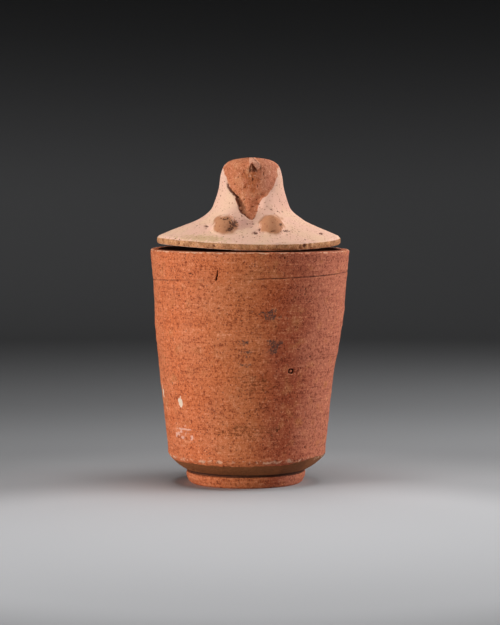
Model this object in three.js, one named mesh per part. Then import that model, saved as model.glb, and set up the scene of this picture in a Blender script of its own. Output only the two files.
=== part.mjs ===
// Canopic jar of fired clay with a falcon-headed lid, in two separate pieces: the wheel-thrown jar, hollow
// and open at the top, and the hollow conical lid that rests on its rim. Millimetres, +Z up, and the falcon
// looks along -Y. The origin lies under the middle of the jar's mouth, on the plane that the foot stands on.
import * as THREE from "three";

const { smoothstep, lerp, degToRad } = THREE.MathUtils;

// The jar: a straight taper with one soft swelling, over a turned-in underside and a low foot ring.
const RIM_RADIUS = 92.5;
const RIM_HEIGHT = 216;
const RIM_WALL = 13;
const RIM_ROUND = 1.2;
const CORNER_RADIUS = 73.2; // where the wall turns in under the jar
const CORNER_HEIGHT = 26.5;
const SWELL = 1.8;
const SWELL_HEIGHT = 146;
const SWELL_SPREAD = 34;
const WALL = 11;
const FOOT_RADIUS = 55.5;
const FOOT_BASE_RADIUS = 52;
const FOOT_HEIGHT = 10.7;
const FOOT_NECK_RADIUS = 53.4; // the groove between the foot and the underside
const FOOT_HOLLOW_RADIUS = 39;
const FOOT_HOLLOW_DEPTH = 4;
const FLOOR_HEIGHT = 24;
const FLOOR_RADIUS = 44; // the floor inside, before it turns up into the wall
const FLOOR_TURN = 12;

// The jar was never quite true: it leans to the left below, and its rim climbs at the back and drops to
// the right.
const LEAN_BODY = 3;
const LEAN_FOOT = 1;
const RIM_CLIMB = 1.6;
const RIM_DROP = 0.5;

// The lid, in its own frame: heights count from the lower side of its edge.
const LID_RADIUS = 84.9;
const LID_EDGE = 5.6;
const LID_WALL = 9;
const LID_SEAT = 9; // width of the flat ring on its underside
const LID_EDGE_ROUND = 1.8;
const NECK_RADIUS = 28.6;
const NECK_HEIGHT = 63;
const BELL_FLARE = [
  [30, 52],
  [33, 41],
  [36.4, 32.5],
  [41.8, 27],
  [50.4, 21.3],
  [60, 17.2],
  [72, 12.3],
]; // radius and height, from the neck down to the edge
const CROWN_HEIGHT = 81.4;
const CROWN_FALL = 5; // the head looks up, so its crown drops to the back
const HEAD_OFFSET = 2.1; // the head stands right of the middle of the bell
const HEAD_HOLLOW_RADIUS = 16;
const HEAD_HOLLOW_HEIGHT = 60;

// The lid warped in the kiln: its sides stand higher than its front and back, along a turned axis.
const LID_BOW = 3.3;
const LID_BOW_TURN = 15; // degrees
const LID_OFFSET = -1.2;
const LID_HEIGHT = 220.5;
const LID_TILT = 0.55; // degrees, front down
const LID_ROLL = 0.25; // degrees, right side down

// The falcon. Clay was laid on the front of the bell, so a place on it is given by x and by its run, the
// distance down a slope of 45 degrees. It stands forward of the neck, and turns upward down on the cone.
const LAPPETS = [
  { top: -19, end: -22.4, knobHalfWidth: 11.8 },
  { top: 18, end: 20.2, knobHalfWidth: 12.4 },
];
const LAPPET_HEIGHT = 4.6;
const LAPPET_HALF_WIDTH = 17;
const LAPPET_START = -22; // run where the lappets leave the head
const KNOB_RUN = 26;
const KNOB_HALF_LENGTH = 13;
const KNOB_HEIGHT = 8;
const LIFT_START = -18; // the runs between which the clay's height turns upward
const LIFT_END = 22;
const LIFT = 58; // degrees
const THROAT_OUTLINE = [
  [0, 23],
  [6.5, 29],
  [9.6, 36],
  [13, 43.5],
  [20.5, 51],
  [25, 62],
  [25.5, 90],
]; // half width and height, from its point up into the face
const THROAT_SHIFT = -0.6;
const THROAT_FOOT_SHIFT = 1.6; // the point of the throat lies right of its middle
const THROAT_FULLNESS = 0.6; // how far its middle swells back towards the wig's level
const THROAT_STEP = 3.6; // how far the lappets stand over the throat
const FACE_STEP = 1.6;
const LEFT_EDGE_WIDTH = 5; // the left lappet ends in a clear step, the right one softly
const RIGHT_EDGE_WIDTH = 9;
const BEAK_TIP = new THREE.Vector3(2.8, -36, 73.2);
const BEAK_LEFT = -1.6;
const BEAK_RIGHT = 10.6;
const BEAK_FOOT = 64.4;
const BEAK_ROOT = 83;

const JAR_SIDES = 52;
const JAR_WALL_ROWS = 9;
const JAR_INNER_ROWS = 4;
const LID_SIDES = 64;
const CROWN_ROWS = 14;
const FLARE_ROWS = 28;
const NECK_ROW_CROWDING = 0.3; // draws the rows of the flare up towards the neck
const LID_FRONT_CROWDING = 0.5; // draws the lid's facets towards the carved front

// A clay profile turned on the wheel, from the axis round to the axis. It stands along +Z and starts at -Y.
function turned(profile, sides) {
  return new THREE.LatheGeometry(profile, sides).rotateX(Math.PI / 2);
}

// Moves every point of a geometry by move(point, index).
function reshape(geometry, move) {
  const position = geometry.getAttribute("position");
  const p = new THREE.Vector3();
  for (let i = 0; i < position.count; i++) {
    p.fromBufferAttribute(position, i);
    move(p, i);
    position.setXYZ(i, p.x, p.y, p.z);
  }
  return geometry;
}

// Splits each four-sided facet of a turned form along its shorter diagonal, for cleaner slanting edges.
function splitAcross(geometry) {
  const position = geometry.getAttribute("position");
  const index = geometry.getIndex();
  const at = (i) => new THREE.Vector3().fromBufferAttribute(position, i);
  for (let first = 0; first < index.count; first += 6) {
    const [a, b, d, c] = [0, 1, 2, 3].map((offset) => index.getX(first + offset));
    if (at(a).distanceTo(at(c)) < at(b).distanceTo(at(d))) {
      [a, b, c, a, c, d].forEach((vertex, offset) => index.setX(first + offset, vertex));
    }
  }
  return geometry;
}

function bump(value, centre, spread) {
  return Math.exp(-(((value - centre) / spread) ** 2));
}

// ---- The jar ----

function wallRadius(z) {
  const share = (z - CORNER_HEIGHT) / (RIM_HEIGHT - CORNER_HEIGHT);
  return lerp(CORNER_RADIUS, RIM_RADIUS, share) + SWELL * bump(z, SWELL_HEIGHT, SWELL_SPREAD);
}

function jarProfile() {
  const points = [];
  const add = (radius, height) => points.push(new THREE.Vector2(radius, height));
  add(0, FOOT_HOLLOW_DEPTH);
  add(FOOT_HOLLOW_RADIUS - 3, FOOT_HOLLOW_DEPTH - 1);
  add(FOOT_HOLLOW_RADIUS, 0);
  add(FOOT_BASE_RADIUS - 1, 0);
  add(FOOT_BASE_RADIUS + 1, 1.4);
  add(FOOT_RADIUS - 0.2, FOOT_HEIGHT * 0.55);
  add(FOOT_RADIUS, FOOT_HEIGHT - 0.8);
  add(FOOT_RADIUS - 0.8, FOOT_HEIGHT);
  add(FOOT_NECK_RADIUS, FOOT_HEIGHT + 0.2);
  const underside = new THREE.QuadraticBezierCurve(
    new THREE.Vector2(FOOT_NECK_RADIUS + 1, FOOT_HEIGHT + 1),
    new THREE.Vector2(CORNER_RADIUS - 8, FOOT_HEIGHT + 6),
    new THREE.Vector2(CORNER_RADIUS - 0.8, CORNER_HEIGHT - 1),
  );
  points.push(...underside.getPoints(4));
  for (let row = 0; row <= JAR_WALL_ROWS; row++) {
    const z = lerp(CORNER_HEIGHT + 1, RIM_HEIGHT - RIM_ROUND, row / JAR_WALL_ROWS);
    add(wallRadius(z), z);
  }
  add(RIM_RADIUS - RIM_ROUND, RIM_HEIGHT);
  add(RIM_RADIUS - RIM_WALL + RIM_ROUND, RIM_HEIGHT);
  add(RIM_RADIUS - RIM_WALL, RIM_HEIGHT - RIM_ROUND);
  for (let row = 0; row < JAR_INNER_ROWS; row++) {
    const z = lerp(RIM_HEIGHT - RIM_WALL, FLOOR_HEIGHT + FLOOR_TURN, row / (JAR_INNER_ROWS - 1));
    add(wallRadius(z) - WALL, z);
  }
  add(FLOOR_RADIUS + FLOOR_TURN, FLOOR_HEIGHT + FLOOR_TURN / 4);
  add(FLOOR_RADIUS, FLOOR_HEIGHT);
  add(0, FLOOR_HEIGHT - 1);
  return points;
}

// Where the middle of the jar lies at a height: the lower body and the foot stand left of the mouth.
function lean(z) {
  return -LEAN_BODY * (1 - smoothstep(z, 85, 190)) - LEAN_FOOT * (1 - smoothstep(z, 0, 30));
}

function jar() {
  return reshape(turned(jarProfile(), JAR_SIDES), (p) => {
    const nearRim = smoothstep(p.z, RIM_HEIGHT - 70, RIM_HEIGHT);
    const climb = RIM_CLIMB * smoothstep(p.y / RIM_RADIUS, -0.05, 0.8);
    const drop = (RIM_DROP * p.x) / RIM_RADIUS;
    p.x += lean(p.z);
    p.z += nearRim * (climb - drop);
  });
}

// ---- The lid ----

// The bell that the lid was thrown as: a low crown on a neck that flares out into a shallow cone.
function bellCurve() {
  const crown = new THREE.SplineCurve([
    new THREE.Vector2(0, CROWN_HEIGHT),
    new THREE.Vector2(9, CROWN_HEIGHT - 1.2),
    new THREE.Vector2(19, CROWN_HEIGHT - 3.8),
    new THREE.Vector2(25.4, CROWN_HEIGHT - 8.8),
    new THREE.Vector2(NECK_RADIUS, NECK_HEIGHT),
  ]);
  const flare = new THREE.SplineCurve([
    new THREE.Vector2(NECK_RADIUS, NECK_HEIGHT),
    ...BELL_FLARE.map(([radius, height]) => new THREE.Vector2(radius, height)),
    new THREE.Vector2(LID_RADIUS - 2.2, LID_EDGE + 2.2),
  ]);
  const flarePoints = [];
  for (let row = 0; row <= FLARE_ROWS; row++) {
    const share = row / FLARE_ROWS;
    flarePoints.push(flare.getPointAt(lerp(share, share ** 2, NECK_ROW_CROWDING)));
  }
  const top = new THREE.Vector2(0, CROWN_HEIGHT);
  return [top, ...crown.getSpacedPoints(CROWN_ROWS).slice(1, -1), ...flarePoints];
}

function lidProfile() {
  const outside = bellCurve();
  const edge = [
    new THREE.Vector2(LID_RADIUS - 0.2, LID_EDGE),
    new THREE.Vector2(LID_RADIUS, LID_EDGE * 0.5),
    new THREE.Vector2(LID_RADIUS - 0.6, 0.7),
    new THREE.Vector2(LID_RADIUS - LID_EDGE_ROUND, 0),
    new THREE.Vector2(LID_RADIUS - LID_EDGE_ROUND - LID_SEAT, 0),
  ];
  const inside = [
    new THREE.Vector2(60, 17.2 - LID_WALL - 1),
    new THREE.Vector2(46, 23.4 - LID_WALL - 1.5),
    new THREE.Vector2(32, 20),
    new THREE.Vector2(22, 28),
    new THREE.Vector2(HEAD_HOLLOW_RADIUS + 1.5, 38),
    new THREE.Vector2(HEAD_HOLLOW_RADIUS, HEAD_HOLLOW_HEIGHT - 10),
    new THREE.Vector2(HEAD_HOLLOW_RADIUS * 0.6, HEAD_HOLLOW_HEIGHT - 3),
    new THREE.Vector2(0, HEAD_HOLLOW_HEIGHT),
  ];
  return { points: [...outside, ...edge, ...inside].reverse(), outsideRows: outside.length };
}

// How high the wig's lappets and their knobs stand over the bell.
function wigHeight(x, run) {
  let height = 0;
  for (const { top, end, knobHalfWidth } of LAPPETS) {
    const down = smoothstep(run, LAPPET_START, KNOB_RUN);
    const across = Math.min(Math.abs(x - lerp(top, end, down)) / LAPPET_HALF_WIDTH, 1);
    const fade = 1 - smoothstep(run, KNOB_RUN - 8, KNOB_RUN + 10);
    const ridge = Math.min(down * 2.5, 1) * fade * (1 - across ** 2) ** 2;
    const fromKnob = Math.hypot((x - end) / knobHalfWidth, (run - KNOB_RUN) / KNOB_HALF_LENGTH);
    const knob = Math.max(1 - fromKnob ** 2, 0) ** 0.85;
    height += LAPPET_HEIGHT * ridge + KNOB_HEIGHT * knob;
  }
  return height;
}

// Half the width of the throat and the face at a height, and less than nothing under the throat's point.
function throatHalfWidth(z) {
  const above = THROAT_OUTLINE.findIndex(([, height]) => height > z);
  if (above < 1) return -2;
  const [lowWidth, low] = THROAT_OUTLINE[above - 1];
  const [highWidth, high] = THROAT_OUTLINE[above];
  return lerp(lowWidth, highWidth, (z - low) / (high - low));
}

// How far the throat and the face lie under the wig, less in their middle than at their sides.
function throatDepth(z, inward) {
  const fullness = smoothstep(inward, 0, 12);
  const step = lerp(THROAT_STEP, FACE_STEP, smoothstep(z, 42, 60));
  const fade = 1 - smoothstep(z, 66, 78);
  return step * (1 - THROAT_FULLNESS * fullness) * fade;
}

// How far out of the face's plane the beak reaches, from 0 at its outline to 1 at its tip: a low pyramid.
function beakReach(x, z) {
  const side = x < BEAK_TIP.x ? BEAK_LEFT : BEAK_RIGHT;
  const end = z < BEAK_TIP.z ? BEAK_FOOT : BEAK_ROOT;
  const across = (x - BEAK_TIP.x) / (side - BEAK_TIP.x);
  const upright = (z - BEAK_TIP.z) / (end - BEAK_TIP.z);
  return Math.max(1 - Math.hypot(across, upright), 0);
}

// Moves a point of the bell onto the carved surface.
function sculpt(p) {
  const y = p.y;
  const z = p.z;
  if (y < 0) {
    const run = (-y - z) * Math.SQRT1_2;
    const wig = wigHeight(p.x, run) * smoothstep(-y, 0, 12);
    const lift = degToRad(LIFT) * smoothstep(run, LIFT_START, LIFT_END);
    const aside = p.x - lerp(THROAT_FOOT_SHIFT, THROAT_SHIFT, smoothstep(z, 23, 36));
    const inward = throatHalfWidth(z + wig * Math.sin(lift)) - Math.abs(aside);
    const half = (aside < 0 ? LEFT_EDGE_WIDTH : RIGHT_EDGE_WIDTH) / 2;
    const throat = smoothstep(inward, -half, half);
    const towardsAxis = (throat * throatDepth(z, inward)) / Math.hypot(p.x, y);
    p.x -= p.x * towardsAxis;
    p.y -= y * towardsAxis + wig * (1 - throat) * Math.cos(lift);
    p.z += wig * (1 - throat) * Math.sin(lift);
    p.y = Math.min(p.y, lerp(p.y, BEAK_TIP.y, beakReach(p.x, p.z)));
  }
  p.z -= CROWN_FALL * smoothstep(y, -12, NECK_RADIUS) * smoothstep(z, 40, CROWN_HEIGHT);
  p.x += HEAD_OFFSET * smoothstep(z, 13, 26);
}

function lid() {
  const { points, outsideRows } = lidProfile();
  const insideRows = points.length - outsideRows;
  const bell = turned(points, LID_SIDES);
  reshape(bell, (p, i) => {
    // Crowd the facets towards the front.
    const radius = Math.hypot(p.x, p.y);
    const angle = Math.atan2(p.x, -p.y);
    const crowded = angle - LID_FRONT_CROWDING * Math.sin(angle);
    p.x = radius * Math.sin(crowded);
    p.y = -radius * Math.cos(crowded);
    if (i % points.length >= insideRows) sculpt(p);
    const bow = Math.cos(crowded - degToRad(LID_BOW_TURN)) ** 2;
    p.z -= LID_BOW * bow * smoothstep(radius, 35, LID_RADIUS - 6);
  });
  return splitAcross(bell);
}

// ---- The two pieces in place ----

function clay(color) {
  return new THREE.MeshStandardMaterial({ color, roughness: 0.9, metalness: 0 });
}

const canopicJar = new THREE.Group();

const jarMesh = new THREE.Mesh(jar(), clay(0xb5623f));
jarMesh.name = "jar";
canopicJar.add(jarMesh);

const lidMesh = new THREE.Mesh(lid(), clay(0xc98a6c));
lidMesh.name = "lid";
lidMesh.position.set(LID_OFFSET, 0, LID_HEIGHT);
lidMesh.rotation.set(degToRad(LID_TILT), degToRad(LID_ROLL), 0);
canopicJar.add(lidMesh);

export default canopicJar;
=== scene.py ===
"""Canopic jar of fired clay with a falcon-headed lid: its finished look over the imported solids.

Two pieces of clay, each over the solid of its own name: the jar, thrown on the wheel, with its scored line, chips and
pits, and the lid, whose falcon is modelled on the front of a thrown bell. The forms are shaped in millimetres, in the
frame of the solids, and a piece's mesh is turned into metres when it is finished. The falcon looks along -Y.
"""

import math

import bmesh
import bpy
import numpy as np
from mathutils import Euler, Matrix, Vector, noise


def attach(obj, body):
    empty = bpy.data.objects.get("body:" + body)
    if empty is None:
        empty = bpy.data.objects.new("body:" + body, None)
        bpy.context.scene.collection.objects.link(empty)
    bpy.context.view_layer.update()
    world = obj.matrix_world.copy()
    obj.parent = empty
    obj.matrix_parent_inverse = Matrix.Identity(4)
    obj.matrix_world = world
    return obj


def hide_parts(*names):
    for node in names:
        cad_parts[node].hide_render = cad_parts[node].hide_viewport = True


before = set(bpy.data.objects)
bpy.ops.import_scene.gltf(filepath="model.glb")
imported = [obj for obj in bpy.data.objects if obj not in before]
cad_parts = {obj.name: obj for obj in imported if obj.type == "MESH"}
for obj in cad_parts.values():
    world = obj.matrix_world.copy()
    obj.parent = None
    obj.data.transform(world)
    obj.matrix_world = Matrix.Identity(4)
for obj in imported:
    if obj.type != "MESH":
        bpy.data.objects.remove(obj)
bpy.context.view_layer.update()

MM = 0.001

# The stage, in metres: a flat floor that bends up, its grey by distance from a place just in front of the jar: a
# painted pool of light that falls off with distance, with painted shade round the jar where its shadow falls.
FLOOR_FLAT = 1.8
FLOOR_BEND = 1.4
FLOOR_TOP = 4
POOL = (0, -0.35, 0)
TONE_REACH = 4.0
# Distance from the pool and the grey painted there: painted light, pale in the pool and falling off away from it.
FLOOR_PAINTED_LIGHT = [
    (0.05, 0.62),
    (0.26, 0.58),
    (0.4, 0.40),
    (0.62, 0.29),
    (1.1, 0.235),
    (2.1, 0.22),
    (2.9, 0.25),
    (3.5, 0.05),
]

LIT_MIDDLE = (0, 0, 0.16)
SOFTBOXES = [  # name, place, size and power in watts
    ("overhead softbox", (0, -0.1, 1.25), 0.8, 7.4),
    ("left softbox", (-1.126, -0.65, 0.12), 0.4, 18.9),
    ("right softbox", (1.3, 0, 0.45), 0.6, 9.7),
    ("back right softbox", (1.178, 0.549, 0.45), 0.6, 5.0),
    ("high right softbox", (0.953, -0.55, 1.1), 0.6, 2.7),
    ("back softbox", (0, 0.7, 1.2), 0.6, 0.8),
]
AIR = (0.011, 0.011, 0.011, 1)
CAMERA_PLACE = (0, -2.0355, 0.2833)
CAMERA_TILT = 86.444
CAMERA_LENS = 127.1

# The jar: a straight taper with one soft swelling, over a turned-in underside and a low foot ring.
RIM_RADIUS = 92.5
RIM_HEIGHT = 216
RIM_WALL = 13
RIM_ROUND = 1.2
CORNER_RADIUS = 73.2
CORNER_HEIGHT = 26.5
SWELL = 1.8
SWELL_HEIGHT = 146
SWELL_SPREAD = 34
WALL = 11
WALL_ROWS = [  # from, to and spacing: closer where a line is scored
    (27.5, 170.5, 1.48),
    (170.5, 175.5, 0.7),
    (175.5, 187, 1.48),
    (187, 196.5, 0.55),
    (196.5, 205.5, 1.48),
    (205.5, 211, 0.62),
    (211, 213.6, 1.2),
]
FOOT_HEIGHT = 10.7
FOOT_PROFILE = [(0, 4), (36, 3), (39, 0), (51, 0), (53, 1.4), (55.3, 5.9), (55.5, 9.9), (54.7, 10.7), (53.4, 10.9)]
UNDERSIDE = [(54.4, 11.7), (65.2, 16.7), (72.4, 25.5)]
JAR_FLOOR = [(56, 27), (44, 24), (0, 23)]
LEAN_BODY = 3
LEAN_FOOT = 1
RIM_CLIMB = 1.6
RIM_DROP = 0.5

# Marks on the jar, placed by their angle from the front, in degrees and growing to the right, and their height.
SCORE_HEIGHT = 191.6
SCORE_CLIMB = 1.7
SCORE_CURL = 1.9
SCORE_STRENGTH = [(-90, 0.7), (-60, 0.8), (-22, 0.55), (-14, 0.15), (-2, 0.35), (8, 0.9), (45, 1), (70, 0.7), (90, 0.6)]
SECOND_HEIGHT = 168.6
SECOND_CLIMB = 5.4
SLIT_ANGLE = -19.1
SLIT_HEIGHT = 194.9
SLIT_TILT = 11.5
PIT_ANGLE = 28.9
PIT_HEIGHT = 108.5
SMALL_PITS = [  # angle, height, size
    (21.2, 54.9, 1.5),
    (67.6, 46.9, 1.4),
    (-19.6, 51.3, 1.6),
    (19.7, 210.4, 1.6),
    (-32, 143, 1.3),
    (74, 95, 1.2),
]
CHALK_PATCHES = [(-50.5, 78, 3, 7), (-77, 85, 2.6, 6.5)]  # angle, height, half width, half height
SOOT_PATCHES = [
    (12, 160, 8.5, 6),
    (-3.4, 135.5, 5, 2),
    (-1.1, 125.8, 4.5, 4),
    (-2.3, 114.8, 5, 2.4),
    (15, 130.6, 7, 7),
    (-6, 101.5, 2.5, 2.5),
]

# The lid, in its own frame: heights count from the lower side of its edge.
LID_RADIUS = 84.9
CROWN_HEIGHT = 81.4
TOP_CLEARANCE = 1.15  # the worn crown stays this far under the height it was shaped to
NECK_RADIUS = 28.6
BELL = [
    (0, 80.3),
    (9, 79.4),
    (19, 77.2),
    (25.4, 72.6),
    (28.6, 63),
    (30, 52),
    (33, 41),
    (36.4, 32.5),
    (41.8, 27),
    (50.4, 21.3),
    (60, 17.2),
    (72, 12.3),
    (82.7, 7.8),
]
LID_EDGE = [(82.7, 7.8), (84.7, 5.6), (84.9, 2.8), (84.3, 0.7), (83.1, 0), (74.1, 0)]
LID_INSIDE = [(74.1, 0), (60, 7.2), (46, 12.9), (32, 20), (22, 28), (17.5, 38), (16, 50), (9.6, 57), (0, 60)]
CROWN_FALL = 5
HEAD_OFFSET = 2.1
LID_BOW = 3.3
LID_BOW_TURN = 15
LID_OFFSET = -1.2
LID_HEIGHT = 220.5
LID_TILT = 0.55
LID_ROLL = 0.25

# The falcon. A place on the clay of its wig is given by x and by its run, the distance down a slope of 45 degrees.
LAPPETS = [(-19, -22.4, 11.8), (18, 20.2, 12.4)]  # x at the top, x at the knob, half width of the knob
LAPPET_HEIGHT = 4.6
LAPPET_HALF_WIDTH = 17
LAPPET_START = -22
KNOB_RUN = 26
KNOB_HALF_LENGTH = 13
KNOB_HEIGHT = 8
LIFT_START = -18
LIFT_END = 22
LIFT = 58
THROAT_LEFT = [  # height and x of its border
    (22.7, 1.6),
    (25.5, -2.7),
    (29.6, -8.4),
    (33.3, -11),
    (37.1, -11.6),
    (44.1, -14.5),
    (51.3, -21.4),
    (64, -26),
]
THROAT_RIGHT = [
    (22.7, 1.6),
    (30.8, 6.2),
    (37.4, 8.4),
    (42.3, 10.8),
    (46.6, 16.2),
    (49.6, 19.9),
    (55.4, 22),
    (62.6, 25),
]
THROAT_FULLNESS = 0.75
THROAT_STEP = 2.7
FACE_STEP = 1.6
BEAK_TIP = (0.5, -36, 75)
BEAK_LEFT = -2.2
BEAK_RIGHT = 8.2
BEAK_FOOT = 66.2
BEAK_RIDGE_FALL = 3.5  # how far the beak falls back for each millimetre above, under or beside its tip
BEAK_UNDER_FALL = 0.35
BEAK_LEFT_FALL = 2.5
BEAK_RIGHT_FALL = 0.9
BEAK_HOLLOW = 4
LID_FRONT_CROWDING = 0.3

# Marks on the lid's front, by x and height in the lid's frame, with their half widths and half heights.
KNOB_TOPS = [(-21.7, 19, 13, 9.5), (20.6, 19.6, 12.5, 9.5)]
KNOB_PITS = [
    (-21, 24.9, 4.8, 1.2),
    (-13.3, 20.4, 3.4, 4.6),
    (-17.2, 15.6, 3.6, 2.2),
    (29, 19.4, 1.9, 1.8),
    (34, 14, 3.6, 1),
]
NICKS = [
    (5.8, 12.5, 2.6, 1.3),
    (9.4, 15.4, 1, 1.8),
    (-38, 17.8, 2, 1.1),
    (22, 14, 3.6, 0.8),
    (66, 11.2, 2.4, 0.9),
]
EDGE_HOLES = [  # angle, height, size
    (-73, 3.4, 1.6),
    (-21.5, 3.6, 1.3),
    (36, 4.0, 2.4),
    (12, 2.6, 1.0),
    (-48, 2.8, 1.2),
]


# ---- Shaping tools ----


def smooth(value, low, high):
    """0 below low, 1 above high, and a soft S between them."""
    share = np.clip((value - low) / (high - low), 0, 1)
    return share * share * (3 - 2 * share)


def mix(low, high, share):
    return low + (high - low) * share


def hump(value, centre, spread):
    return np.exp(-(((value - centre) / spread) ** 2))


def evenly(points, spacing):
    """The same line with its points about spacing apart, both ends kept."""
    points = np.array(points, float)
    length = np.concatenate([[0], np.cumsum(np.hypot(*np.diff(points, axis=0).T))])
    stops = np.linspace(0, length[-1], max(round(length[-1] / spacing), 1) + 1)
    return np.column_stack([np.interp(stops, length, points[:, axis]) for axis in (0, 1)])


def flowing(points, steps=12):
    """A smooth line through the given points."""
    points = np.array(points, float)
    padded = np.vstack([points[0], points, points[-1]])
    share = np.linspace(0, 1, steps, endpoint=False)[:, None]
    spans = []
    for before, start, end, after in zip(padded, padded[1:], padded[2:], padded[3:]):
        leave, arrive = (end - before) / 2, (after - start) / 2
        spans.append(
            (2 * share**3 - 3 * share**2 + 1) * start
            + (share**3 - 2 * share**2 + share) * leave
            + (3 * share**2 - 2 * share**3) * end
            + (share**3 - share**2) * arrive
        )
    return np.vstack([*spans, points[-1]])


def thrown(profile, sides, cuts):
    """A clay form turned on the wheel: its profile, from axis to axis, spun round +Z into a closed mesh.

    It is spun in a few steps, and each step's flat facet is then cut into narrower ones and rounded out again.
    """
    form = bmesh.new()
    outline = [form.verts.new((0, -radius, height)) for radius, height in profile]
    line = [form.edges.new(ends) for ends in zip(outline, outline[1:])]
    bmesh.ops.spin(
        form, geom=outline + line, cent=(0, 0, 0), axis=(0, 0, 1), angle=math.tau, steps=sides, use_merge=True
    )
    rings = [edge for edge in form.edges if edge.calc_length() > 1e-4 and is_level(edge)]
    bmesh.ops.subdivide_edges(form, edges=rings, cuts=cuts, use_grid_fill=True)
    step = math.tau / sides
    for vert in form.verts:
        from_middle = math.atan2(vert.co.x, -vert.co.y) % step - step / 2
        vert.co.xy *= math.cos(from_middle) / math.cos(step / 2)
    bmesh.ops.remove_doubles(form, verts=form.verts, dist=1e-4)
    bmesh.ops.recalc_face_normals(form, faces=form.faces)
    return form


def is_level(edge):
    """Whether an edge runs round the form, and not along its profile."""
    start, end = (vert.co for vert in edge.verts)
    return abs(start.z - end.z) < 1e-5 and abs(start.xy.length - end.xy.length) < 1e-4


def lumps(points, size, seed):
    """Seeded noise between about -1 and 1, with lumps about size across. Size is one number, or one for each axis."""
    away = Vector((seed * 17.3, seed * 5.9, seed * 11.1))
    return np.array([noise.noise(Vector(place) + away) for place in points / np.array(size)]) * 1.6


def positions(mesh):
    found = np.empty(len(mesh.vertices) * 3)
    mesh.vertices.foreach_get("co", found)
    return found.reshape(-1, 3)


def normals(mesh):
    found = np.empty(len(mesh.vertices) * 3)
    mesh.vertex_normals.foreach_get("vector", found)
    return found.reshape(-1, 3)


def set_positions(mesh, points):
    mesh.vertices.foreach_set("co", points.ravel())
    mesh.update()


def paint(mesh, name, values):
    """Keeps a mask of the clay's surface, from 0 to 1, for its material."""
    layer = mesh.attributes.new(name, "FLOAT", "POINT")
    layer.data.foreach_set("value", np.clip(values, 0, 1).astype(np.float32))


def fire(form, name, material, node):
    """Turns a shaped clay form into a finished piece that stands for a solid."""
    mesh = bpy.data.meshes.new(name)
    form.to_mesh(mesh)
    form.free()
    mesh.shade_smooth()
    mesh.materials.append(material)
    piece = bpy.data.objects.new(name, mesh)
    bpy.context.scene.collection.objects.link(piece)
    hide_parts(node)
    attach(piece, "root")
    return mesh


# ---- The jar ----


def wall_radius(height):
    share = (height - CORNER_HEIGHT) / (RIM_HEIGHT - CORNER_HEIGHT)
    return mix(CORNER_RADIUS, RIM_RADIUS, share) + SWELL * hump(height, SWELL_HEIGHT, SWELL_SPREAD)


def lean(height):
    """Where the middle of the jar lies at a height: its lower body and foot stand left of its mouth."""
    return -LEAN_BODY * (1 - smooth(height, 85, 190)) - LEAN_FOOT * (1 - smooth(height, 0, 30))


def jar_profile():
    outer = RIM_HEIGHT - RIM_ROUND
    heights = np.concatenate([np.arange(low, high, spacing) for low, high, spacing in WALL_ROWS])
    wall = [(wall_radius(height), height) for height in heights]
    inner_heights = np.linspace(RIM_HEIGHT - RIM_WALL, 36, 12)
    inner = [(wall_radius(height) - WALL, height) for height in inner_heights]
    start, middle, end = (np.array(point) for point in UNDERSIDE)
    share = np.linspace(0, 1, 12)[:, None]
    underside = (1 - share) ** 2 * start + 2 * share * (1 - share) * middle + share**2 * end
    rim = [(RIM_RADIUS - RIM_ROUND, RIM_HEIGHT), (RIM_RADIUS - RIM_WALL + RIM_ROUND, RIM_HEIGHT)]
    lip = [rim[-1], (RIM_RADIUS - RIM_WALL, RIM_HEIGHT - RIM_ROUND)]
    return np.vstack(
        [
            evenly(FOOT_PROFILE[:3], 6)[:-1],
            evenly(FOOT_PROFILE[2:], 1),
            evenly(np.vstack([underside, wall[:1]]), 1.3)[:-1],
            wall,
            evenly([wall[-1], (wall_radius(outer), outer), rim[0]], 1.1)[1:-1],
            evenly(rim, 1.5),
            lip[1:],
            evenly(np.vstack([inner, JAR_FLOOR]), 7),
        ]
    )


def shape_jar(mesh):
    points = positions(mesh)
    near_rim = smooth(points[:, 2], RIM_HEIGHT - 70, RIM_HEIGHT)
    climb = RIM_CLIMB * smooth(points[:, 1] / RIM_RADIUS, -0.05, 0.8)
    drop = RIM_DROP * points[:, 0] / RIM_RADIUS
    points[:, 0] += lean(points[:, 2])
    points[:, 2] += near_rim * (climb - drop)
    set_positions(mesh, points)


def cut_finer(form, angle, height, half_width, half_height, cuts):
    """Cuts the jar's outer facets finer round one small feature, given by its angle and height."""
    middle = math.radians(angle)
    near = [
        vert
        for vert in form.verts
        if abs(math.atan2(vert.co.x, -vert.co.y) - middle) * vert.co.xy.length < half_width
        and abs(vert.co.z - height) < half_height
        and vert.co.xy.length > wall_radius(height) - 3
    ]
    chosen = set(near)
    edges = [edge for edge in form.edges if edge.verts[0] in chosen and edge.verts[1] in chosen]
    bmesh.ops.subdivide_edges(form, edges=edges, cuts=cuts, use_grid_fill=True)


def round_jar(points):
    """The angle from the front, in degrees and growing to the right, and the height of places on the jar."""
    x, y, z = points.T
    return np.degrees(np.arctan2(x - lean(z), -y)), z


def beside(points, angle, height):
    """How far places lie from one place on the jar, round it and up it, in millimetres."""
    around, z = round_jar(points)
    return np.radians((around - angle + 180) % 360 - 180) * wall_radius(height), z - height


def patch(points, angle, height, half_width, half_height, ragged, seed):
    """1 inside a ragged oval patch of the jar's wall, and 0 outside."""
    across, up = beside(points, angle, height)
    outline = np.hypot(across / half_width, up / half_height)
    near = outline < 2
    edge = np.zeros(len(points))
    edge[near] = lumps(points[near], min(half_width, half_height) * 0.8, seed)
    return (1 - smooth(outline + ragged * edge, 0.6, 1.15)) * near


def score_height(around):
    """The scored line isn't level: it climbs to the right."""
    side = np.sin(np.radians(around))
    return SCORE_HEIGHT + SCORE_CLIMB * side + SCORE_CURL * side**3


def wheel_marks(points):
    around, z = round_jar(points)
    wall = smooth(z, 27, 34)
    rings = 0.13 * (1 + lumps(points, (70, 70, 2.6), 1)) + 0.3 * (1 + lumps(points, (90, 90, 9), 2))
    return rings * wall + 0.06


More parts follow.
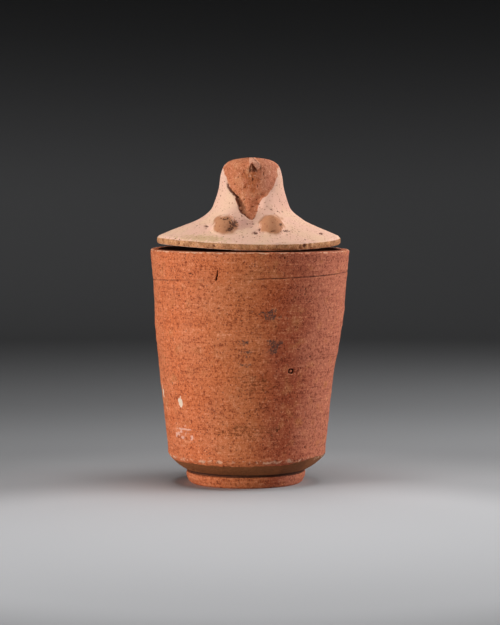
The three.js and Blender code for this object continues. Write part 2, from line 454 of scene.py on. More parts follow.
def scored_lines(points):
    around, z = round_jar(points)
    from_line = z - score_height(around)
    strength = np.interp(around, *np.array(SCORE_STRENGTH).T) * (0.85 + 0.3 * lumps(points, 5, 4))
    main = hump(from_line, 0, 0.55) * strength
    second = hump(z - SECOND_HEIGHT - SECOND_CLIMB * np.sin(np.radians(around)), 0, 0.5)
    second = second * hump(around, 62, 26) * 0.45
    near_rim = hump(z, 209.4, 0.45) * smooth(lumps(points, (30, 30, 60), 6), -0.2, 0.5)
    near_rim = near_rim + hump(z, 206.9, 0.4) * smooth(lumps(points, (24, 24, 60), 7), 0, 0.6)
    return np.clip(main + second + 0.35 * near_rim, 0, 1)


def slit(points):
    across, up = beside(points, SLIT_ANGLE, SLIT_HEIGHT)
    from_slit = across - up * math.tan(math.radians(SLIT_TILT))
    width = mix(0.85, 0.5, smooth(up, -2, 3))
    return (1 - smooth(abs(from_slit), width * 0.5, width * 1.25)) * (1 - smooth(abs(up), 4, 5))


def burst_pit(points):
    """A square-mouthed pit where a lump in the clay burst out, with the rest of the lump still in it."""
    across, up = beside(points, PIT_ANGLE, PIT_HEIGHT)
    outline = ((abs(across - 0.25 * up) / 2.9) ** 3 + (abs(up + 0.15 * across) / 2.5) ** 3) ** (1 / 3)
    ring = hump(outline, 0.72, 0.3)
    crack = hump(np.hypot(across, up) - 6.8 - 0.8 * np.sin(up), 0, 0.5) * smooth(across, 2, 4) * hump(up, -0.5, 3.2)
    return ring, crack


def small_pits(points):
    """Pits as wide as a few grains, scattered over the wall, and the larger ones at their own places."""
    scattered = smooth(lumps(points, 2.6, 11), 0.72, 0.95) * smooth(lumps(points, 40, 12), -0.4, 0.6)
    for angle, height, size in SMALL_PITS:
        across, up = beside(points, angle, height)
        scattered = np.maximum(scattered, 1 - smooth(np.hypot(across, up), size * 0.45, size))
    return scattered


def weather_jar(mesh):
    """Cuts the jar's relief into its skin and paints the masks of its stains, and of painted shade and light: in its
    hollows and scored lines, inside it, on its underside and in bands down its side.
    """
    points, outward = positions(mesh), normals(mesh)
    around, z = round_jar(points)
    radius = np.hypot(points[:, 0] - lean(z), points[:, 1])
    outside = (radius > np.interp(z, [0, 24, 36, 217, 218.5], [30, 50, 68, 84, 84])).astype(float)
    scored = scored_lines(points) * outside
    cut = slit(points) * outside
    ring, crack = (part * outside for part in burst_pit(points))
    pits = small_pits(points) * outside
    rough = patch(points, 3, 97, 19, 8.5, 0.5, 21) * outside
    brushed = patch(points, 1, 54.5, 31, 6.5, 0.4, 22) * outside
    dented = hump(z, 38, 10) * smooth(lumps(points, 3.4, 23), 0.45, 0.8) * outside
    rim_edge = hump(z, RIM_HEIGHT + 0.4, 2.6) * smooth(radius, 88, 91.5)
    corner = hump(z, CORNER_HEIGHT - 0.5, 3) * smooth(radius, 66, 71)
    chipped = (rim_edge + 0.8 * corner) * smooth(lumps(points, 5.5, 24), 0.25, 0.75)
    grainy = lumps(points, 1.9, 25) + 0.6 * lumps(points, 3.6, 26)
    standing = smooth(z, 0.2, 3)
    depth = wheel_marks(points) * outside + 0.16 * (1 + lumps(points, 30, 27)) + 0.09 * np.maximum(1.6 + grainy, 0)
    depth = depth + 0.6 * scored + 2.4 * cut + 1.7 * ring + 0.7 * crack + 0.9 * pits + 0.5 * dented
    depth = depth + rough * (0.25 + 0.5 * np.maximum(lumps(points, 2.4, 28), 0)) + 0.8 * chipped
    depth = depth + brushed * 0.3 * (1 + lumps(points, (26, 26, 1.1), 29))
    set_positions(mesh, points - outward * (depth * standing)[:, None])

    # Painted shade: the slit, the burst pit and its crack, the small pits and the dents are darkened where shade falls
    # in them, and so is the groove over the foot, under the ledge of its edge.
    hollow = 0.9 * cut + 0.9 * ring + 0.75 * crack + 0.75 * pits + 0.45 * dented
    groove = hump(z, FOOT_HEIGHT + 0.9, 1.1) * smooth(radius, 40, 50)
    paint(mesh, "hollow", hollow + groove)
    # The scored lines' mask is painted nearly black in the finish: painted shade in the grooves.
    paint(mesh, "scored", scored)
    # Painted shade: the inside of the jar, under its rim, is painted nearly black.
    paint(mesh, "inside", (1 - outside) * (1 - smooth(radius, 86, 90)) * (z > 20))
    # A band about 24 degrees right of the front is painted darker: painted shade where neither side light reaches,
    # partly the clay's own darker tone.
    paint(mesh, "shade_and_dark_tone", hump(around + 6 * lumps(points, 30, 35), 24, 15) * (1 - 0.4 * smooth(z, 150, 200)) * outside)
    paint(mesh, "rubbed", np.maximum(rim_edge * 0.8, 0.5 * corner) * (0.8 + 0.5 * lumps(points, 4, 31)) + 0.4 * chipped)
    # The right side is painted pinker: partly the clay's pink bloom, partly painted cool light from the right.
    bloom_and_cool_light = smooth(around + 7 * lumps(points, 30, 32), 8, 34) * (1 - smooth(around, 120, 170)) * outside
    paint(mesh, "bloom_and_cool_light", bloom_and_cool_light)
    paint(mesh, "ochre", hump(around + 8 * lumps(points, 34, 33), 2, 24) * outside)
    # The underside, below a wavering border, is painted dark brown: partly grime, partly painted shade where it faces
    # down to the floor.
    border = mix(22.6, 27.5, smooth(around, 25, 62)) + 0.5 * lumps(points, 7, 34)
    paint(mesh, "grimy shaded underside", (1 - smooth(z, border - 0.8, border + 0.4)) * smooth(z, 11.2, 12) * outside)
    chalk = sum(patch(points, *place, 0.5, 41 + i) for i, place in enumerate(CHALK_PATCHES))
    paint(mesh, "chalk", chalk * outside)
    scuffs = patch(points, -51, 51, 12, 8, 0.7, 45) * smooth(lumps(points, (4, 4, 1.6), 46), -0.1, 0.4)
    line = patch(points, -49, 54.3, 11, 0.7, 0.4, 47)
    paint(mesh, "scuffs", (scuffs + line) * outside)
    soot = sum(patch(points, *place, 0.6, 51 + i) for i, place in enumerate(SOOT_PATCHES))
    paint(mesh, "soot", soot * outside)
    paint(mesh, "brushed", (brushed + 0.7 * rough) * outside)


# ---- The lid ----


def lid_profile():
    bell = flowing(BELL)
    head = bell[bell[:, 0] <= 70]
    cone = bell[bell[:, 0] >= 70]
    edge, inside = evenly(LID_EDGE, 1)[1:], evenly(LID_INSIDE, 6)[1:]
    return np.vstack([evenly(head, 0.8), evenly(cone, 1.1)[1:], edge, inside])[::-1]


def wig_height(x, run):
    """How high the wig's lappets and their knobs stand over the bell."""
    height = 0
    for top, end, knob_half_width in LAPPETS:
        down = smooth(run, LAPPET_START, KNOB_RUN)
        across = np.minimum(abs(x - mix(top, end, down)) / LAPPET_HALF_WIDTH, 1)
        fade = 1 - smooth(run, KNOB_RUN - 8, KNOB_RUN + 10)
        ridge = np.minimum(down * 2.5, 1) * fade * (1 - across**2) ** 2
        from_knob = np.hypot((x - end) / knob_half_width, (run - KNOB_RUN) / KNOB_HALF_LENGTH)
        knob = np.maximum(1 - from_knob**2, 0) ** 0.85
        height = height + LAPPET_HEIGHT * ridge + KNOB_HEIGHT * knob
    return height


def throat_sides(height):
    """Where the left and right borders of the throat and the face run at a height."""
    return [np.interp(height, *np.array(border).T) for border in (THROAT_LEFT, THROAT_RIGHT)]


def beak_front(x, z):
    """How far forward the beak stands at each place of the face, and 1 where there is beak.

    Two flat sides fall back from its ridge, and a three-cornered hollow is cut under its tip.
    """
    tip_x, tip_y, tip_z = BEAK_TIP
    above, below = np.maximum(z - tip_z, 0), np.maximum(tip_z - z, 0)
    ridge = tip_y + BEAK_RIDGE_FALL * above + BEAK_UNDER_FALL * below
    sides = np.maximum(BEAK_LEFT_FALL * (tip_x - x), BEAK_RIGHT_FALL * (x - tip_x))
    hollow = smooth(0.62 * below - abs(x - tip_x - 0.1 * below), -0.4, 0.6) * smooth(below, 0.2, 1.8)
    right = BEAK_RIGHT - 5 * smooth(z, 73, 80) - 2.5 * (1 - smooth(z, 67, 71))
    inside = smooth(x, BEAK_LEFT - 0.4, BEAK_LEFT + 0.4) * (1 - smooth(x, right - 0.35, right + 0.35))
    return ridge + sides + BEAK_HOLLOW * hollow, inside * smooth(z, BEAK_FOOT - 0.8, BEAK_FOOT + 0.8), hollow


def model_falcon(points):
    """Moves points of the bell onto the modelled falcon."""
    x, y, z = points.T.copy()
    front = y < 0
    run = (-y - z) * math.sqrt(0.5)
    wig = np.where(front, wig_height(x, run) * smooth(-y, 0, 12), 0)
    lift = math.radians(LIFT) * smooth(run, LIFT_START, LIFT_END)
    height = z + wig * np.sin(lift)
    left, right = throat_sides(height)
    from_left, from_right = x - left, right - x
    inward = np.minimum(from_left, from_right)
    throat = smooth(from_left, -0.9, 1.1) * smooth(from_right, -4, 4) * smooth(height, 21.5, 26) * front
    step = mix(THROAT_STEP, FACE_STEP, smooth(z, 42, 60)) * (1 - THROAT_FULLNESS * smooth(inward, 0, 12))
    inset = throat * step * (1 - smooth(z, 66, 78)) / np.maximum(np.hypot(x, y), 1)
    wig = wig * (1 - throat)
    points[:, 0] -= x * inset
    points[:, 1] -= y * inset + wig * np.cos(lift)
    points[:, 2] += wig * np.sin(lift)
    beak_y, beak, _ = beak_front(points[:, 0], points[:, 2])
    points[:, 1] = np.where(front, np.minimum(points[:, 1], mix(points[:, 1], beak_y, beak)), points[:, 1])
    points[:, 2] -= CROWN_FALL * smooth(y, -12, NECK_RADIUS) * smooth(z, 40, CROWN_HEIGHT)
    points[:, 0] += HEAD_OFFSET * smooth(z, 13, 26)
    return inward, throat


def shape_lid(mesh):
    """Shapes the lid, and keeps each point's place on it: how far inside the throat it lies, how much it belongs to the
    throat, whether it lies on the outside, its angle round the lid and its distance from the axis.
    """
    points = positions(mesh)
    radius = np.hypot(points[:, 0], points[:, 1])
    angle = np.arctan2(points[:, 0], -points[:, 1])
    crowded = angle - LID_FRONT_CROWDING * np.sin(angle)
    points[:, 0], points[:, 1] = radius * np.sin(crowded), -radius * np.cos(crowded)
    outside = points[:, 2] > np.interp(radius, *np.array(sorted(LID_INSIDE)).T) + 3
    outside |= radius > LID_INSIDE[0][0]
    outer = points[outside]
    inward = np.full(len(points), -30.0)
    throat = np.zeros(len(points))
    inward[outside], throat[outside] = model_falcon(outer)
    points[outside] = outer
    bow = np.cos(crowded - math.radians(LID_BOW_TURN)) ** 2
    points[:, 2] -= LID_BOW * bow * smooth(radius, 35, LID_RADIUS - 6)
    set_positions(mesh, points)
    return inward, throat, outside.astype(float), np.degrees(crowded), radius


def spot(points, x, z, half_width, half_height, ragged=0, seed=0):
    """1 inside an oval spot on the lid's front, by x and height in the lid's frame, and 0 outside."""
    outline = np.hypot((points[:, 0] - x) / half_width, (points[:, 2] - z) / half_height)
    near = (outline < 2) & (points[:, 1] < 0)
    edge = np.zeros(len(points))
    if ragged:
        edge[near] = lumps(points[near], min(half_width, half_height) * 0.7, seed)
    return (1 - smooth(outline + ragged * edge, 0.6, 1.15)) * near


def weather_lid(mesh, inward, throat, outside, around, radius):
    """Cuts the lid's relief into its skin and paints the masks of its slip and stains, and of painted shade and light:
    in its crease, pits and nicks, on its knobs, under its beak, on its beak and on the right of its head.
    """
    points, outward = positions(mesh), normals(mesh)
    x, y, z = points.T
    front = (y < 0) * outside
    head = smooth(z, 26, 34) * outside
    band = smooth(radius, 83, 84.4) * outside
    beside_throat = front * (x < 1.5) * smooth(z, 21, 26) * (1 - smooth(z, 52, 60))
    crease = hump(inward + 0.5 * lumps(points, 2.5, 101), 0.4, 1.0) * beside_throat
    knob_tops = sum(spot(points, *place, 0.15, 61 + i) for i, place in enumerate(KNOB_TOPS))
    knob_pits = sum(spot(points, *place, 0.5, 71 + i) for i, place in enumerate(KNOB_PITS)) * front
    nicks = sum(spot(points, *place, 0.4, 81 + i) for i, place in enumerate(NICKS)) * front
    rubbed_patch = spot(points, 3, 57, 8, 9, 0.5, 91) * front
    chips = band * smooth(lumps(points, 4.2, 92), 0.45, 0.85)
    edge_holes = np.zeros(len(points))
    for angle, height, size in EDGE_HOLES:
        along = np.radians((around - angle + 180) % 360 - 180) * LID_RADIUS
        edge_holes += band * (1 - smooth(np.hypot(along, z - height - band_bow(around)), size * 0.5, size))
    grainy = lumps(points, 1.7, 93) + 0.6 * lumps(points, 3.4, 94)
    pits = smooth(lumps(points, 2.2, 95), 0.75, 0.98) * outside
    depth = 0.12 * (1 + lumps(points, 16, 96)) + 0.07 * np.maximum(1.6 + grainy, 0) * (1 + 0.8 * band)
    depth = depth + 0.9 * crease + 0.9 * knob_pits + 0.8 * nicks + 0.5 * pits + 0.8 * chips + 1.3 * edge_holes
    depth = depth + rubbed_patch * 0.4 * (1 + lumps(points, 2.0, 97))
    points = points - outward * depth[:, None]
    points[:, 2] = np.minimum(points[:, 2], CROWN_HEIGHT - TOP_CLEARANCE)
    set_positions(mesh, points)

    lump = lumps(points, 9, 98)
    face = smooth(inward + 1.6 * lump, -1.2, 1.2) * front * (1 - smooth(radius, 44, 52))
    crown = smooth(z + 2.5 * lump, 74, 78) * (y < 6) * outside
    paint(mesh, "bare clay", np.maximum(face, crown))
    paint(mesh, "knob tops", knob_tops * front)
    # Painted shade: the pits on the knobs are painted nearly black.
    paint(mesh, "pit_shade", knob_pits)
    paint(mesh, "shadowed", 1 - outside)
    paint(mesh, "ruddy", face * smooth(x, 4, 16) * smooth(z, 40, 55))
    paint(mesh, "edge band", band * (1 - smooth(z - band_bow(around), 5.4, 6.6)) + (1 - outside))
    # Painted shade: the crease beside the throat, the nicks, the pits and the holes and chips of the edge are darkened
    # where shade falls in them.
    hollow = 0.85 * crease + 0.7 * nicks + 0.7 * pits + 0.95 * edge_holes + 0.4 * chips
    paint(mesh, "hollow", hollow)
    paint(mesh, "rubbed", rubbed_patch)
    # Painted shade below the throat, right of the left knob, and painted pink light on the right of the head.
    shaded = spot(points, -6, 19.5, 10, 5, 0.4, 99) * front
    paint(mesh, "pink_light_and_shade", shaded + 0.6 * smooth(around, 10, 60) * head * (1 - smooth(around, 120, 160)))
    yellow = spot(points, -42, 7, 22, 3, 0.6, 100) * front
    paint(mesh, "yellowed", yellow)
    # The beak is painted paler than the face: painted light on its facets.
    beak_y, beak, under_tip = beak_front(x - HEAD_OFFSET, z)
    beak = beak * (1 - smooth(y - beak_y, 0.6, 1.6)) * front
    paint(mesh, "beak", beak * (1 - under_tip))
    # Painted shade: the hollow under the beak's tip, the line beside its right side and a second ridge line are painted
    # dark.
    right = x - HEAD_OFFSET - BEAK_RIGHT
    beside_beak = hump(right, 0.4, 0.8) * hump(z, 70, 3.5)
    second_ridge = hump(right + 1.6 + 5 * smooth(z, 73, 80), 0, 0.4) * smooth(z, 71, 74)
    paint(mesh, "shade under beak", (beak * under_tip + beside_beak + 0.7 * second_ridge) * front)


def band_bow(around):
    """How far the warp of the lid lowers its edge at an angle round it."""
    return -LID_BOW * np.cos(np.radians(around - LID_BOW_TURN)) ** 2


def place_lid():
    turn = Euler((math.radians(LID_TILT), math.radians(LID_ROLL), 0)).to_matrix().to_4x4()
    return Matrix.Translation((LID_OFFSET, 0, LID_HEIGHT)) @ turn


# ---- Wiring for finishes ----


def add(tree, kind, inputs=None, **settings):
    """A shader node with its settings, its inputs set to values or wired to other nodes."""
    node = tree.nodes.new("ShaderNode" + kind)
    for name, value in settings.items():
        setattr(node, name, value)
    for name, value in (inputs or {}).items():
        if isinstance(value, bpy.types.NodeSocket):
            tree.links.new(value, node.inputs[name])
        else:
            node.inputs[name].default_value = value
    return node


def calc(tree, operation, first, second=0.0, third=0.0):
    node = add(tree, "Math", {0: first, 1: second, 2: third}, operation=operation)
    return node.outputs["Value"]


def ease(tree, value, low, high):
    """0 below low, 1 above high, and a soft S between them."""
    node = add(tree, "MapRange", {"Value": value, "From Min": low, "From Max": high}, interpolation_type="SMOOTHSTEP")
    return node.outputs["Result"]


def tint(tree, share, under, over, way="MIX"):
    """Lays one colour over another by a share."""
    settings = {"data_type": "RGBA", "blend_type": way, "clamp_factor": True}
    return add(tree, "Mix", {0: share, 6: colour(under), 7: colour(over)}, **settings).outputs[2]


def colour(value):
    return (*value, 1) if isinstance(value, tuple) and len(value) == 3 else value


def mask(tree, name):
    return add(tree, "Attribute", attribute_type="GEOMETRY", attribute_name=name).outputs["Fac"]


def effect(name, inputs, outputs):
    """An empty node group with named inputs, each with its usual value, and named outputs."""
    group = bpy.data.node_groups.new(name, "ShaderNodeTree")
    for label, value in inputs.items():
        socket = group.interface.new_socket(label, in_out="INPUT", socket_type="NodeSocketFloat")
        socket.default_value = value
    for label in outputs:
        group.interface.new_socket(label, in_out="OUTPUT", socket_type="NodeSocketFloat")
    return group, group.nodes.new("NodeGroupInput").outputs, group.nodes.new("NodeGroupOutput").inputs


def place(tree, group, **inputs):
    """Places an effect in a finish, with its own values."""
    node = tree.nodes.new("ShaderNodeGroup")
    node.node_tree = group
    for name, value in inputs.items():
        name = name.replace("_", " ")
        if isinstance(value, bpy.types.NodeSocket):
            tree.links.new(value, node.inputs[name])
        else:
            node.inputs[name].default_value = value
    return node.outputs


def noise_at(tree, position, per_metre, detail=2.0, roughness=0.55):
    """Noise that varies to both sides of 0."""
    inputs = {"Vector": position, "Scale": per_metre, "Detail": detail, "Roughness": roughness}
    return calc(tree, "SUBTRACT", add(tree, "TexNoise", inputs).outputs["Fac"], 0.5)


def sand_effect():
    """Sandy fabric: a fine speckle, and sparse dark and pale grains."""
    group, given, made = effect("sandy fabric", {"grain size": 1.1}, ["speckle", "dark grains", "pale grains"])
    position = add(group, "TexCoord").outputs["Object"]
    per_metre = calc(group, "DIVIDE", 1000.0, given["grain size"])
    fine = noise_at(group, position, per_metre, 2.0, 0.6)
    coarse = noise_at(group, position, calc(group, "MULTIPLY", per_metre, 0.36))
    group.links.new(calc(group, "MULTIPLY_ADD", coarse, 0.7, fine), made["speckle"])
    for label, share, rare in (("dark grains", 0.42, 0.72), ("pale grains", 0.5, 0.78)):
        cells = add(group, "TexVoronoi", {"Vector": position, "Scale": calc(group, "MULTIPLY", per_metre, share)})
        chosen = add(group, "SeparateColor", {"Color": cells.outputs["Color"]}).outputs["Red"]
        round_grain = ease(group, cells.outputs["Distance"], 0.42, 0.2)
        kept = ease(group, chosen, rare, rare + 0.05)
        group.links.new(calc(group, "MULTIPLY", round_grain, kept), made[label])
    return group


def streak_effect():
    """Marks of the wheel: level streaks that come and go round the pot."""
    group, given, made = effect("wheel streaks", {"width": 2.0}, ["streaks"])
    position = add(group, "TexCoord").outputs["Object"]
    drawn = add(group, "Mapping", {"Vector": position, "Scale": (0.08, 0.08, 1)}).outputs["Vector"]
    per_metre = calc(group, "DIVIDE", 1000.0, given["width"])
    group.links.new(noise_at(group, drawn, per_metre, 3.0, 0.6), made["streaks"])
    return group


def cloud_effect():
    """Broad soft clouds in the firing colour. Shift gives each finish its own."""
    group, given, made = effect("firing clouds", {"width": 40.0, "shift": 0.0}, ["clouds"])
    position = add(group, "TexCoord").outputs["Object"]
    moved = add(group, "VectorMath", {0: position, 1: given["shift"]}, operation="ADD").outputs["Vector"]
    per_metre = calc(group, "DIVIDE", 1000.0, given["width"])
    group.links.new(noise_at(group, moved, per_metre, 3.0, 0.5), made["clouds"])
    return group


def ragged_effect():
    """Breaks up the soft border of a painted mask into grains."""
    group, given, made = effect("ragged border", {"mask": 0.0, "grain size": 2.0, "strength": 0.6}, ["mask"])
    position = add(group, "TexCoord").outputs["Object"]
    per_metre = calc(group, "DIVIDE", 1000.0, given["grain size"])
    rough = calc(group, "MULTIPLY", noise_at(group, position, per_metre, 3.0, 0.65), given["strength"])
    lifted = calc(group, "ADD", given["mask"], calc(group, "MULTIPLY", rough, 2.0))
    held = calc(group, "MULTIPLY", ease(group, lifted, 0.35, 0.65), ease(group, given["mask"], 0.0, 0.12))
    group.links.new(held, made["mask"])
    return group


# ---- Clay ----


def fired(name, roughness, shine):
    """A new clay material, its node tree and its shader."""
    material = bpy.data.materials.new(name)
    material.use_nodes = True
    shader = material.node_tree.nodes["Principled BSDF"]
    shader.inputs["Roughness"].default_value = roughness
    shader.inputs["Specular IOR Level"].default_value = shine
    return material, material.node_tree, shader


def grain_skin(tree, shader, height, depth):
    """Gives a clay its fine relief from a height that varies to both sides of 0, in grains depth millimetres deep."""
    bump = add(tree, "Bump", {"Strength": 1.0, "Distance": depth * MM, "Height": height})
    tree.links.new(bump.outputs["Normal"], shader.inputs["Normal"])


def jar_clay():
    material, tree, shader = fired("fired jar clay", 0.85, 0.18)
    sand = place(tree, SAND, grain_size=1.0)
    streaks = place(tree, STREAKS, width=1.5)["streaks"]
    bands = place(tree, STREAKS, width=9.0)["streaks"]
    clouds = place(tree, CLOUDS, width=34.0, shift=0.3)["clouds"]
    patches = place(tree, CLOUDS, width=11.0, shift=0.7)["clouds"]

    body = tint(tree, ease(tree, clouds, -0.2, 0.2), (0.57, 0.142, 0.048), (0.55, 0.158, 0.064))
    body = tint(tree, calc(tree, "MULTIPLY", mask(tree, "ochre"), 0.6), body, (0.50, 0.15, 0.048))
    # Pinker on the right: partly the clay's bloom, partly painted cool light.
    body = tint(tree, calc(tree, "MULTIPLY", mask(tree, "bloom_and_cool_light"), 0.75), body, (0.47, 0.145, 0.09))
    # Painted shade in a band right of the front, partly the clay's darker tone.
    body = tint(tree, calc(tree, "MULTIPLY", mask(tree, "shade_and_dark_tone"), 0.75), body, (0.36, 0.06, 0.018))
    body = tint(tree, ease(tree, patches, 0.02, 0.3), body, (0.46, 0.14, 0.05))
    uneven = calc(tree, "MULTIPLY_ADD", streaks, 0.62, calc(tree, "MULTIPLY", bands, 0.35))
    uneven = calc(tree, "MULTIPLY_ADD", sand["speckle"], 1.25, uneven)
    uneven = calc(tree, "MULTIPLY_ADD", patches, 0.35, uneven)
    body = tint(tree, ease(tree, uneven, 0.02, -0.36), body, (0.38, 0.25, 0.2), "MULTIPLY")
    body = tint(tree, ease(tree, uneven, 0.04, 0.5), body, (0.72, 0.29, 0.15))
    body = tint(tree, calc(tree, "MULTIPLY", sand["dark grains"], 0.7), body, (0.13, 0.02, 0.008))
    body = tint(tree, calc(tree, "MULTIPLY", sand["pale grains"], 0.22), body, (0.80, 0.42, 0.27))

    # The dark underside: partly grime, partly painted shade.
    bare = place(tree, RAGGED, mask=mask(tree, "grimy shaded underside"), grain_size=3.0, strength=0.3)["mask"]
    under = tint(tree, ease(tree, clouds, -0.1, 0.2), (0.13, 0.047, 0.014), (0.24, 0.085, 0.026))
    body = tint(tree, calc(tree, "MULTIPLY", bare, 0.85), body, under)
    brown = place(tree, RAGGED, mask=mask(tree, "brushed"), grain_size=2.4, strength=0.8)["mask"]
    brown = calc(tree, "MULTIPLY", brown, ease(tree, calc(tree, "ADD", streaks, sand["speckle"]), 0.12, -0.2))
    body = tint(tree, calc(tree, "MULTIPLY", brown, 0.6), body, (0.16, 0.045, 0.012))
    rubbed = place(tree, RAGGED, mask=mask(tree, "rubbed"), grain_size=1.8, strength=0.5)["mask"]
    body = tint(tree, calc(tree, "MULTIPLY", rubbed, 0.6), body, (0.80, 0.50, 0.33))
    scuffs = place(tree, RAGGED, mask=mask(tree, "scuffs"), grain_size=1.4, strength=0.7)["mask"]
    body = tint(tree, calc(tree, "MULTIPLY", scuffs, 0.5), body, (0.80, 0.52, 0.42))
    chalk = place(tree, RAGGED, mask=mask(tree, "chalk"), grain_size=2.2, strength=0.4)["mask"]
    body = tint(tree, calc(tree, "MULTIPLY", chalk, 0.8), body, (0.72, 0.62, 0.48))
    thin_soot = calc(tree, "MULTIPLY", mask(tree, "soot"), 0.62)
    soot = place(tree, RAGGED, mask=thin_soot, grain_size=1.7, strength=1.5)["mask"]
    body = tint(tree, calc(tree, "MULTIPLY", soot, 0.75), body, (0.045, 0.04, 0.036))
    # Painted shade in the jar's hollows and in the groove over its foot.
    hollow = place(tree, RAGGED, mask=mask(tree, "hollow"), grain_size=1.2, strength=0.35)["mask"]
    body = tint(tree, calc(tree, "MULTIPLY", hollow, 0.88), body, (0.035, 0.012, 0.007))
    # Painted shade in the scored lines.
    scored = ease(tree, calc(tree, "MULTIPLY_ADD", sand["speckle"], 0.4, mask(tree, "scored")), 0.2, 0.75)
    body = tint(tree, calc(tree, "MULTIPLY", scored, 0.85), body, (0.05, 0.012, 0.006))
    # Painted shade inside the jar.
    body = tint(tree, calc(tree, "MULTIPLY", mask(tree, "inside"), 0.9), body, (0.03, 0.012, 0.008))
    tree.links.new(body, shader.inputs["Base Color"])

    height = calc(tree, "MULTIPLY_ADD", streaks, 0.5, sand["speckle"])
    height = calc(tree, "MULTIPLY_ADD", sand["dark grains"], -0.35, height)
    grain_skin(tree, shader, calc(tree, "MULTIPLY_ADD", hollow, -0.6, height), 0.34)
    return material


def lid_clay():
    material, tree, shader = fired("slipped lid clay", 0.86, 0.2)
    sand = place(tree, SAND, grain_size=0.95)
    clouds = place(tree, CLOUDS, width=20.0, shift=1.3)["clouds"]
    patches = place(tree, CLOUDS, width=7.0, shift=1.9)["clouds"]

    slip = tint(tree, ease(tree, clouds, -0.15, 0.2), (0.80, 0.48, 0.36), (0.80, 0.51, 0.35))
    # Painted shade below the throat and painted pink light on the head's right side.
    slip = tint(tree, calc(tree, "MULTIPLY", mask(tree, "pink_light_and_shade"), 0.5), slip, (0.60, 0.29, 0.235))
    slip = tint(tree, calc(tree, "MULTIPLY", mask(tree, "yellowed"), 0.6), slip, (0.55, 0.36, 0.17))
    raw = tint(tree, ease(tree, patches, -0.1, 0.25), (0.52, 0.14, 0.048), (0.56, 0.19, 0.07))
    bare = place(tree, RAGGED, mask=mask(tree, "bare clay"), grain_size=3.0, strength=0.5)["mask"]
    raw = tint(tree, calc(tree, "MULTIPLY", mask(tree, "ruddy"), 0.5), raw, (0.47, 0.16, 0.10))
    body = tint(tree, calc(tree, "MULTIPLY", bare, 0.9), slip, raw)
    topped = ease(tree, calc(tree, "MULTIPLY_ADD", patches, 0.9, mask(tree, "knob tops")), 0.1, 0.9)
    body = tint(tree, calc(tree, "MULTIPLY", topped, 0.9), body, (0.46, 0.185, 0.08))
    band = tint(tree, ease(tree, patches, -0.15, 0.2), (0.33, 0.135, 0.042), (0.56, 0.255, 0.095))
    edge = place(tree, RAGGED, mask=mask(tree, "edge band"), grain_size=2.4, strength=0.3)["mask"]
    body = tint(tree, calc(tree, "MULTIPLY", edge, 0.9), body, band)
    # Painted light on the beak's facets.
    body = tint(tree, calc(tree, "MULTIPLY", mask(tree, "beak"), 0.6), body, (0.68, 0.36, 0.25))
    # Painted shade under and beside the beak.
    body = tint(tree, calc(tree, "MULTIPLY", mask(tree, "shade under beak"), 0.85), body, (0.12, 0.035, 0.012))
    rubbed = place(tree, RAGGED, mask=mask(tree, "rubbed"), grain_size=1.6, strength=0.9)["mask"]
    body = tint(tree, calc(tree, "MULTIPLY", rubbed, 0.55), body, (0.42, 0.10, 0.025))
    uneven = calc(tree, "MULTIPLY_ADD", patches, 0.3, sand["speckle"])
    quiet = calc(tree, "MULTIPLY", uneven, calc(tree, "MULTIPLY_ADD", calc(tree, "MAXIMUM", bare, edge), 0.8, 0.6))
    body = tint(tree, ease(tree, quiet, -0.02, -0.42), body, (0.5, 0.38, 0.32), "MULTIPLY")
    body = tint(tree, calc(tree, "MULTIPLY", ease(tree, quiet, 0.04, 0.5), 0.6), body, (0.85, 0.5, 0.35))
    body = tint(tree, calc(tree, "MULTIPLY", sand["dark grains"], 0.5), body, (0.28, 0.045, 0.02))
    # Painted shade in the pits of the knobs.
    thin_pits = calc(tree, "MULTIPLY", mask(tree, "pit_shade"), 0.75)
    pit_shade = place(tree, RAGGED, mask=thin_pits, grain_size=1.6, strength=1.3)["mask"]
    body = tint(tree, calc(tree, "MULTIPLY", pit_shade, 0.85), body, (0.05, 0.014, 0.008))
    body = tint(tree, calc(tree, "MULTIPLY", mask(tree, "shadowed"), 0.85), body, (0.05, 0.03, 0.02))
    # Painted shade in the lid's crease, nicks, pits and edge holes.
    hollow = place(tree, RAGGED, mask=mask(tree, "hollow"), grain_size=1.1, strength=0.4)["mask"]
    body = tint(tree, calc(tree, "MULTIPLY", hollow, 0.85), body, (0.10, 0.02, 0.008))
    tree.links.new(body, shader.inputs["Base Color"])

    height = calc(tree, "MULTIPLY_ADD", sand["dark grains"], -0.35, sand["speckle"])
    grain_skin(tree, shader, calc(tree, "MULTIPLY_ADD", hollow, -0.6, height), 0.3)
    return material


# ---- The two pieces ----


def make_jar():
    form = thrown(jar_profile(), 48, 7)
    cut_finer(form, SLIT_ANGLE, SLIT_HEIGHT, 5, 7, 2)
    cut_finer(form, PIT_ANGLE + 3, PIT_HEIGHT, 11, 6, 3)
    mesh = fire(form, "clay_jar", jar_clay(), "jar")
    shape_jar(mesh)
    weather_jar(mesh)
    mesh.transform(Matrix.Scale(MM, 4))


def make_lid():
    mesh = fire(thrown(lid_profile(), 50, 7), "clay_lid", lid_clay(), "lid")
    weather_lid(mesh, *shape_lid(mesh))
    mesh.transform(place_lid())
    mesh.transform(Matrix.Scale(MM, 4))


# ---- Floor, light and camera ----


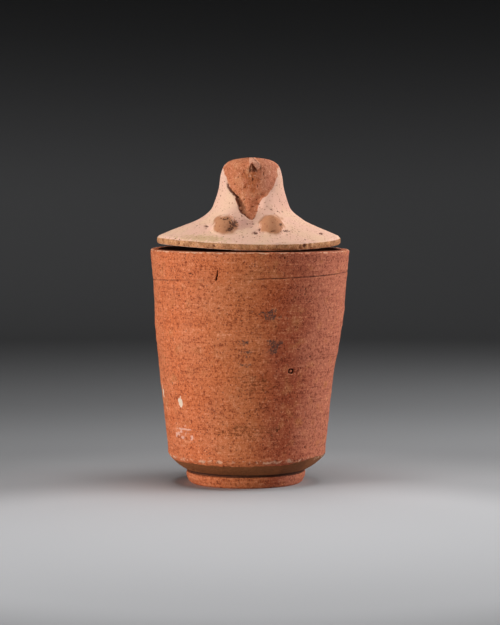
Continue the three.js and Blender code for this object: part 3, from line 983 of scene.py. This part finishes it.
def make_floor():
    """A round floor of grey paper that turns up into a backdrop on every side, with painted light on it: a pale pool
    where the jar stands that falls off with distance.
    """
    bend = [
        (FLOOR_FLAT + FLOOR_BEND * math.sin(turn), FLOOR_BEND - FLOOR_BEND * math.cos(turn))
        for turn in np.linspace(0, math.pi / 2, 24)
    ]
    form = thrown([(0, 0), (0.3, 0), (1, 0), *bend, (FLOOR_FLAT + FLOOR_BEND, FLOOR_TOP)], 96, 1)
    bmesh.ops.reverse_faces(form, faces=form.faces)
    mesh = bpy.data.meshes.new("studio floor")
    form.to_mesh(mesh)
    form.free()
    mesh.shade_smooth()
    mesh.materials.append(painted_light_floor())
    floor = bpy.data.objects.new("studio floor", mesh)
    bpy.context.scene.collection.objects.link(floor)


def painted_light_floor():
    material, tree, shader = fired("floor with painted light", 0.9, 0.2)
    position = add(tree, "TexCoord").outputs["Object"]
    # Painted light: the grey is pale in a pool just in front of the jar, darker round the jar where its shadow falls,
    # and falls off with distance.
    from_pool = add(tree, "VectorMath", {0: position, 1: POOL}, operation="DISTANCE").outputs["Value"]
    ramp = add(tree, "ValToRGB", {"Fac": calc(tree, "DIVIDE", from_pool, TONE_REACH)})
    ramp.color_ramp.interpolation = "EASE"
    for distance, grey in FLOOR_PAINTED_LIGHT:
        stop = ramp.color_ramp.elements.new(distance / TONE_REACH)
        stop.color = (grey, grey * 1.005, grey * 1.03, 1)
    for spare in (-1, 0):
        ramp.color_ramp.elements.remove(ramp.color_ramp.elements[spare])
    tree.links.new(ramp.outputs["Color"], shader.inputs["Base Color"])
    return material


def soft_light(name, place, aim, size, power):
    lamp = bpy.data.lights.new(name, "AREA")
    lamp.size = size
    lamp.energy = power
    holder = bpy.data.objects.new(name, lamp)
    holder.location = place
    holder.rotation_euler = (Vector(aim) - Vector(place)).to_track_quat("-Z", "Y").to_euler()
    bpy.context.scene.collection.objects.link(holder)


def light_studio():
    for name, place_at, size, power in SOFTBOXES:
        soft_light(name, place_at, LIT_MIDDLE, size, power)
    world = bpy.data.worlds.new("studio air")
    bpy.context.scene.world = world
    world.use_nodes = True
    world.node_tree.nodes["Background"].inputs["Color"].default_value = AIR
    world.node_tree.nodes["Background"].inputs["Strength"].default_value = 1
    bpy.context.scene.view_settings.view_transform = "Standard"


def set_camera():
    lens = bpy.data.cameras.new("camera")
    lens.lens = CAMERA_LENS
    lens.sensor_width = 36
    lens.clip_start, lens.clip_end = 0.05, 50
    camera = bpy.data.objects.new("camera", lens)
    camera.location = CAMERA_PLACE
    camera.rotation_euler = (math.radians(CAMERA_TILT), 0, 0)
    bpy.context.scene.collection.objects.link(camera)
    bpy.context.scene.camera = camera


SAND = sand_effect()
STREAKS = streak_effect()
CLOUDS = cloud_effect()
RAGGED = ragged_effect()

set_camera()
make_floor()
light_studio()
make_jar()
make_lid()
